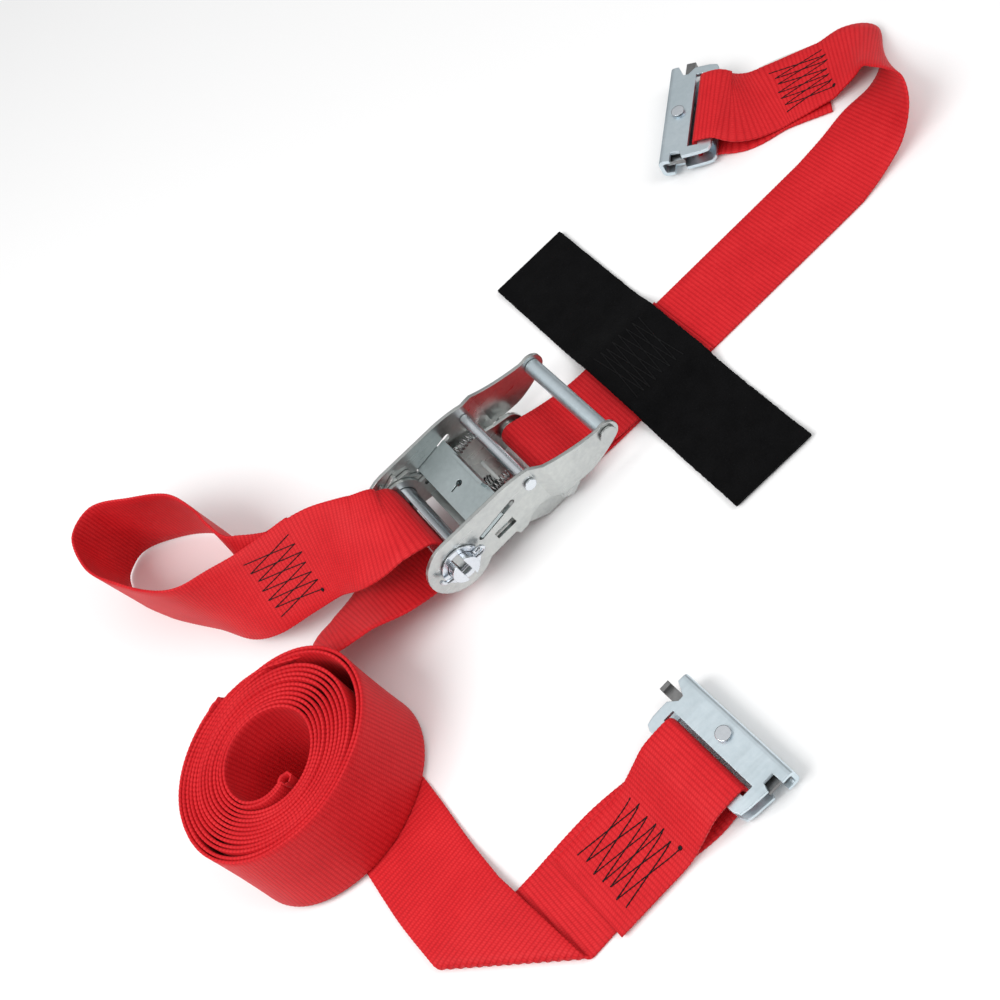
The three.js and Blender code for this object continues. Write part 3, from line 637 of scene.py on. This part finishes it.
def roll_stations():
    """Counter-clockwise inwards from the top of the roll, round the tongue and back out again."""
    inwards = np.append(np.arange(90, ROLL_LAST, 5), ROLL_LAST)
    stations = [in_roll(angle, 1 + (angle - 90) / 180) for angle in inwards]
    ahead = unit((stations[-1][0] - stations[-2][0]) * (1, 1, 0))
    outward = np.cross(ahead, Z)
    axis = stations[-1][0] + TONGUE["bend"] * outward
    stations += arc(axis, LEANING, ahead, outward, TONGUE["bend"], -50, 90, 6)
    for angle in inwards[::-1]:
        if 180 <= angle < ROLL_LAST - 4:
            spare = 0.3 * max(0.0, 1 - (ROLL_LAST - angle) / 40)
            stations.append(in_roll(angle, (angle - 90) / 180, spare))
    return stations


# Between the spindle and the roll the long strap turns up on its edge: centres and left edge vectors.
TO_ROLL = [
    ((0, 0, 20.9), (0, -23, 0)), ((-6, 0, 17.4), (0, -24, 0)), ((-18, 0, 16.4), (0, -HALF, 0)),
    ((-36, -2, 18.5), (0, -24.6, 4.4)), ((-57, -3, 21), (1, -22, 11.5)), ((-70, -4, 23.2), (3, -21, 13.3)),
    ((-82.6, -4.5, 25), (6.9, -19, 15)), ((-94, -8, 26.5), (6.5, -10.5, 21.7)),
    ((-106, -11, 27.1), (3, 1, 24.8)), ((-119, -11.2, 27), (0, 6, 24.2)),
]

# On the roll's far side the strap's outer end folds down over a slanting crease and runs to the floor.
FLAP = crease((-114.5, -8.7, 27.9), X, unit(LEANING), -90, 1.2, np.cross(unit(LEANING), X))
FLAP_FOOT_RADIUS = 1.7

# Past the roll the strap swings a little as it lies: its left edge (on the -X side) and its right.
UNDER_EDGES = [
    ((-137, -60, LAYER_1), (-87, -60, LAYER_1)), ((-137.6, -106, LAYER_1), (-86.6, -104, LAYER_1)),
    ((-137.8, -141, 1.9), (-87, -135, 1.8)),
]

# Then it folds under itself and heads for fitting 2.
LONG_FOLD_RADIUS = 1.7
LONG_FOLD_AT = (-106, -192.9, LAYER_1 + 2 * LONG_FOLD_RADIUS)
LONG_FOLD = crease(LONG_FOLD_AT, direction(-81), direction(-171), -83.8, LONG_FOLD_RADIUS, -Z)


def leaving_roll():
    """The last part turn of the strap, easing outwards and up to the flap."""
    stations = []
    for angle in np.linspace(172, 106, 9):
        share = (180 - angle) / 78
        centre, edge = in_roll(angle, (angle - 90) / 180, 1.1 * share**2)
        stations.append((centre + 0.9 * share**2 * Z, edge))
    return stations


def long_strap_strip():
    """From the spindle to the roll, in and out of it, down, under it and over a fold to fitting 2."""
    foot = (-112, FLAP.last[0][1] - 2.0, LAYER_1 + FLAP_FOOT_RADIUS)
    ground = arc(foot, -X * HALF, Y, Z, FLAP_FOOT_RADIUS, -14, -90, 5)
    under = [straight(-112, -20, LAYER_1, -90, -HALF), straight(-112, -60, LAYER_1, -90, -HALF)]
    to_fitting = [
        LONG_FOLD.last, straight(-34, -192.9, LAYER_1, -1), behind(FITTING_2, 24, LAYER_1),
    ]
    stub = [
        behind(FITTING_2, 22, 15.2), behind(FITTING_2, 30, 10.5), behind(FITTING_2, 38, 5.6),
        behind(FITTING_2, 44, LAYER_2 + 0.3), behind(FITTING_2, 62, LAYER_2), behind(FITTING_2, 87, LAYER_2),
    ]
    return Strip(
        spline(stations_of(TO_ROLL) + roll_stations() + leaving_roll() + [FLAP.first]),
        FLAP,
        spline([FLAP.last] + ground + under),
        ruled(UNDER_EDGES + [edges_of(LONG_FOLD.first)]),
        LONG_FOLD,
        spline(to_fitting + bar_stations(FITTING_2) + stub),
    )


# How far the middle of fitting 2's sewing is from the end of the strap.
SEWING_2_BACK = 28


def make_long_strap(materials):
    strip = long_strap_strip()
    sewn = [(strip.length - SEWING_2_BACK, 40), (strip.length - 170, 30)]
    material = materials["webbing"]
    obj = webbing_mesh("long_strap_webbing", strip, material, "frame", across_count=16, coarse=sewn)
    declare_webbing(obj, strip, "long_strap_to_ratchet", "long_strap_roll", "long_strap_to_fitting")
    return strip


def strap_in_spindle_strip():
    """Straight up through the slot between the two halves of the spindle."""
    return Strip(spline(stations_of([((0, 0, z), (0, -22.5, 0)) for z in (22.6, 26, 30, 34, 37.4)])))


# The free tail: up out of the spindle, over, and sewn back on itself as an open eye. Each station is a
# centre and the direction of the left edge.
TAIL = [
    ((0, 0, 39.2), (0, 1, 0)), ((-2.5, 0, 46.5), (0, 1, 0)), ((-13, 1, 52), (0, 1, 0.05)),
    ((-30, 9, 50), (0.15, 0.97, 0.2)), ((-50, 28, 42.5), (0.2, 0.8, 0.5)), ((-72, 40, 36), (0.2, 0.75, 0.62)),
    ((-94, 49, 32.5), (0.15, 0.7, 0.7)), ((-111, 61, 29), (0.1, 0.45, 0.88)),
    ((-129, 80, 27), (0.1, -0.1, 0.98)), ((-149, 113, 26), (0.1, -0.25, 0.96)),
    ((-160, 143, 26), (0, -0.1, 1)), ((-156, 166, 26.5), (0, 0.1, 1)),
    ((-141, 173, 26.5), (0.05, 0.1, 1)), ((-116, 156, 27), (0, 0, 1)), ((-97, 135, 27.5), (0, 0, 1)),
    ((-90, 112, 28.5), (0, 0, 1)), ((-90, 89, 30), (0.1, 0.15, 0.98)), ((-88, 67, 31), (0.2, 0.5, 0.8)),
    ((-76, 47.5, 31.5), (0.25, 0.75, 0.62)), ((-58, 38, 36), (0.22, 0.78, 0.58)),
]


def tail_strip():
    return Strip(spline([(centre, HALF * unit(edge)) for centre, edge in stations_of(TAIL)]))


def make_tail(materials):
    strip = tail_strip()
    sewn = [(nearest(strip, (-98, 52, 32), 60, 150), 12)]
    obj = webbing_mesh("strap_tail_webbing", strip, materials["webbing"], "frame", coarse=sewn)
    declare_webbing(obj, strip, "strap_tail")
    return strip


def make_strap_in_spindle(materials):
    strip = strap_in_spindle_strip()
    obj = webbing_mesh("spindle_webbing", strip, materials["webbing"], "spindle")
    declare_webbing(obj, strip, "strap_in_spindle")


# ---------------------------------------------------------------- sewing, tie and label
STITCH = 3.4
THREAD_RADIUS = 0.32

# The face of a strap that lies upwards where a block of sewing shows.
UPPER = -1


def nearest(strip, point, start, stop):
    """The distance along a strip at which its middle passes nearest to a point."""
    along = np.arange(start, stop, 0.5)
    middle = strip.place(along, np.zeros(len(along)), np.zeros(len(along)))
    return along[np.linalg.norm(middle - np.asarray(point), axis=1).argmin()]


def sew(name, strip, runs, side, material, thick=WEB_THICK):
    """Lines of stitches on one face of a strip; runs are lists of (along, across) corners."""
    vertices = []
    faces = []
    for run in runs:
        corners = np.array(run, float)
        legs = np.linalg.norm(np.diff(corners, axis=0), axis=1)
        reach = np.concatenate([[0], np.cumsum(legs)])
        at = np.linspace(0, reach[-1], max(int(reach[-1] / 0.45), 6))
        along = np.interp(at, reach, corners[:, 0])
        across = np.interp(at, reach, corners[:, 1]) / HALF
        arch = np.abs(np.sin(math.pi * at / STITCH)) ** 0.5
        height = side * (thick / 2 - 0.28 + 0.42 * arch)
        ring, quads = tube(strip.place(along, across, height), THREAD_RADIUS, 5)
        faces += [tuple(i + len(vertices) for i in quad) for quad in quads]
        vertices += ring
    add_object(name, vertices, faces, material, "frame")


def zigzag(centre, length, width, points, first_end, shift=0.0):
    """One pass of a sewn block: uneven strokes along the strap between the block's two ends."""
    across = np.linspace(-width / 2, width / 2, points) + shift
    wander = random.Random(points + int(centre))
    ends = [centre - length / 2, centre + length / 2]
    corners = []
    for i, value in enumerate(across):
        along = ends[(i + first_end) % 2] + wander.uniform(-1.2, 1.2)
        corners.append((along, value + wander.uniform(-0.7, 0.7)))
    return corners


def knot(along, across):
    """A run of thread wound on the spot."""
    turns = [i * 2.4 for i in range(14)]
    return [(along + 1.1 * math.cos(turn), across + 1.1 * math.sin(turn)) for turn in turns]


def sewn_block(name, strip, centre, length, width, material):
    """Two passes of zigzag that cross, and a knot of thread at one corner."""
    passes = [zigzag(centre, length, width, 7, first_end) for first_end in (0, 1)]
    end = knot(centre - length / 2, -width / 2)
    sew(name, strip, passes + [end], UPPER, material)


def make_sewing(materials, fixed, long, tail):
    thread = materials["thread"]
    lead = fixed.starts[2]
    at = nearest(fixed, (323, 62.5, LAYER_2), lead, lead + 60)
    sewn_block("sewing_fitting_1", fixed, at, 30, 34, thread)
    sewn_block("sewing_fitting_2", long, long.length - SEWING_2_BACK, 36, 34, thread)
    at = nearest(tail, (-74, 40, 36), 20, 150)
    sewn_block("sewing_tail", tail, at, 33, 34, thread)


def tie_strip():
    """The tie along its length, up over the two layers of the fixed strap and down again."""
    half = TIE["length"] / 2
    gaps = [
        (-half, 1.5), (-88, 0.4), (-60, 0.1), (-42, 0.6), (-34, 2.6), (-28, 4.7), (-20, 5),
        (14, 5), (20, 4.7), (27, 2.8), (36, 0.6), (60, 0.1), (90, 0.2), (half, 0.8),
    ]
    ahead = direction(TIE["heading"])
    edge = direction(TIE["heading"] + 90) * TIE["width"] / 2
    base = np.array([TIE["x"], TIE["y"], TIE["thick"] / 2])
    return Strip(spline([(base + along * ahead + gap * Z, edge) for along, gap in gaps]))


def make_tie(materials):
    strip = tie_strip()
    obj = tape_mesh("tie_tape", strip, materials["tape"])
    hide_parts("hook_and_loop_tie")
    passes = [zigzag(TIE["length"] / 2 - 2, 40, 32, 8, first_end, 2) for first_end in (0, 1)]
    sew("sewing_tie", strip, passes, 1, materials["tape_thread"], thick=TIE["thick"])


def tape_mesh(name, strip, material):
    """The tie's loop tape, with a field of raised loops all over it."""
    shape = section(40, TIE["thick"], TIE["width"])
    count = int(strip.length / 0.9)
    along = np.linspace(0, strip.length, count)[:, None]
    across, side = shape.T[:, None, :] + 0 * along
    spots = np.stack([along + 0 * across, across * HALF, side], axis=-1).reshape(-1, 3)
    rough = np.array([noise.noise(Vector(spot) * 0.8) for spot in spots]).reshape(across.shape)
    height = side * (TIE["thick"] / 2 - 0.1 + 0.16 * rough)
    frayed = across * (1 + 0.012 * rough * (np.abs(across) > 0.95))
    points = strip.place(along, frayed, height).reshape(-1, 3)
    return add_object(name, points, ring_faces(count, len(shape)), material, "frame")


def make_label(materials, fixed):
    """A blank woven label sewn between the two layers at fitting 1, its edge showing at the side."""
    end = fixed.length
    at = nearest(fixed, (312, 48.8, LAYER_1), end - 60, end)
    shape = section(4, 0.3, 14)
    count = 20
    along = np.linspace(at - 18, at + 18, count)[:, None]
    across = 0.96 + shape[None, :, 0] * 0.18
    height = WEB_THICK / 2 + 0.28 + shape[None, :, 1] * 0.12
    points = fixed.place(along, across, height).reshape(-1, 3)
    faces = ring_faces(count, len(shape))
    obj = add_object("label_woven", points, faces, materials["label"], "frame")
    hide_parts("blank_label")


# ---------------------------------------------------------------- springs
def coil(radius, length, turns):
    """Points along a coil spring that lies along +X."""
    share = np.linspace(0, 1, turns * 20 + 1)
    angle = 2 * math.pi * turns * share
    return np.stack([length * share, radius * np.cos(angle), radius * np.sin(angle)], axis=-1)


def make_spring(name, node, body, material, points, radius):
    """A coil of wire along points, which rides on body and stands in for the CAD node, with a mesh of its
    own.
    """
    vertices, faces = tube(points, radius, 8)
    obj = add_object(name, vertices, faces, material, body)
    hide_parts(node)
    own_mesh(obj)


def make_pawl_spring(materials, name, node, body, angle, start, length, y):
    """A spring behind a pawl, starting at a distance from the spindle and tilted by angle from level."""
    ahead = np.array([math.cos(math.radians(angle)), 0, math.sin(math.radians(angle))])
    up = np.cross(ahead, Y)
    foot = np.array([0, y, SPINDLE_Z])
    turned = np.array([ahead, Y, up])
    points = foot + (coil(2.2, length, 5) + np.array([start, 0, 0])) @ turned
    make_spring(name, node, body, materials["spring_steel"], points, 0.42)


def make_latch_spring(materials, number, fitting, side):
    """The spring inside a track fitting, behind its latch."""
    length = 11
    ahead = direction(fitting["heading"])
    along = direction(fitting["heading"] + 90) * side
    base = np.array([fitting["x"], fitting["y"], FITTING["bottom"] + 6 - 0.4 * side])
    foot = base + 8 * ahead + 3.1 * along
    points = foot + coil(2, length, 5) @ np.array([along, ahead, Z])
    name = f"latch_spring_{number}"
    node = f"fitting_{number}_spring"
    steel = materials["spring_steel"]
    make_spring(name, node, "frame", steel, points, 0.38)


def make_springs(materials):
    for where, y in (("near", -18), ("far", 18)):
        name = f"drive_coil_{where}"
        node = f"drive_pawl_spring_{where}"
        make_pawl_spring(materials, name, node, "handle", 9, 38.6, 11, y)
    node = "lock_pawl_spring"
    make_pawl_spring(materials, "lock_coil", node, "frame", -10, 33.6, 8.8, 0)
    make_latch_spring(materials, 1, FITTING_1, -1)
    make_latch_spring(materials, 2, FITTING_2, 1)


# ---------------------------------------------------------------- lights and floor
FLOOR_REACH = 3.0
FLOOR_GREY = 0.97


def make_floor():
    """A plain pale floor, just clear of what lies on it."""
    mesh = bpy.data.meshes.new("floor")
    corners = [(x * FLOOR_REACH, y * FLOOR_REACH, 0) for x, y in ((-1, -1), (1, -1), (1, 1), (-1, 1))]
    mesh.from_pydata(corners, [], [(0, 1, 2, 3)])
    shader = Shader("floor", Roughness=0.7, Specular_IOR_Level=0.2)
    shader.surface.inputs["Base Color"].default_value = (FLOOR_GREY, FLOOR_GREY, FLOOR_GREY, 1)
    mesh.materials.append(shader.material)
    floor = bpy.data.objects.new("floor", mesh)
    floor.location.z = -0.0002
    bpy.context.scene.collection.objects.link(floor)


def make_light(name, location, target, size, power):
    """A soft area light that points at target."""
    data = bpy.data.lights.new(name, "AREA")
    data.shape = "RECTANGLE"
    data.size, data.size_y = size
    data.energy = power
    light = bpy.data.objects.new(name, data)
    light.location = location
    light.rotation_euler = (Vector(target) - Vector(location)).to_track_quat("-Z", "Y").to_euler()
    bpy.context.scene.collection.objects.link(light)


def make_world():
    """White above, darker towards the horizon, so that the plating has something to mirror."""
    world = bpy.data.worlds.new("studio")
    world.use_nodes = True
    nodes = world.node_tree.nodes
    links = world.node_tree.links
    place = nodes.new("ShaderNodeTexCoord")
    height = nodes.new("ShaderNodeSeparateXYZ")
    ramp = nodes.new("ShaderNodeValToRGB")
    links.new(place.outputs["Generated"], height.inputs["Vector"])
    links.new(height.outputs["Z"], ramp.inputs["Fac"])
    links.new(ramp.outputs["Color"], nodes["Background"].inputs["Color"])
    stops = ((0.1, (0.06, 0.065, 0.07, 1)), (0.75, (1, 1, 1, 1)))
    for element, (position, colour) in zip(ramp.color_ramp.elements, stops):
        element.position = position
        element.color = colour
    nodes["Background"].inputs["Strength"].default_value = 0.72
    bpy.context.scene.world = world


def make_lights():
    make_world()
    make_light("key", (-0.9, -0.1, 1.2), (0, 0, 0), (1.0, 0.8), 13)
    make_light("fill", (0.9, -0.6, 1.0), (0, 0, 0), (0.9, 0.9), 5.5)


# Pieces that sit between the plates, their plating made greyer than their neighbours' as painted shade.
SHADED = {"drive_pawl": "zinc_painted_shade", "lock_pawl": "zinc_painted_shade"}


def dress_nodes(materials):
    """A made material on each CAD piece that still shows."""
    for row in frame["record"]["subparts"]:
        node = frame["nodes"][row["node"]]
        slot = SHADED.get(row["node"], row["material_slot"])
        if slot in materials:
            node.data.materials.clear()
            node.data.materials.append(materials[slot])


bpy.context.scene.view_settings.view_transform = "Standard"
make_camera()
materials = make_materials()
fixed = make_fixed_strap(materials)
long = make_long_strap(materials)
tail = make_tail(materials)
make_strap_in_spindle(materials)
make_sewing(materials, fixed, long, tail)
make_tie(materials)
make_label(materials, fixed)
make_springs(materials)
make_floor()
make_lights()
dress_nodes(materials)
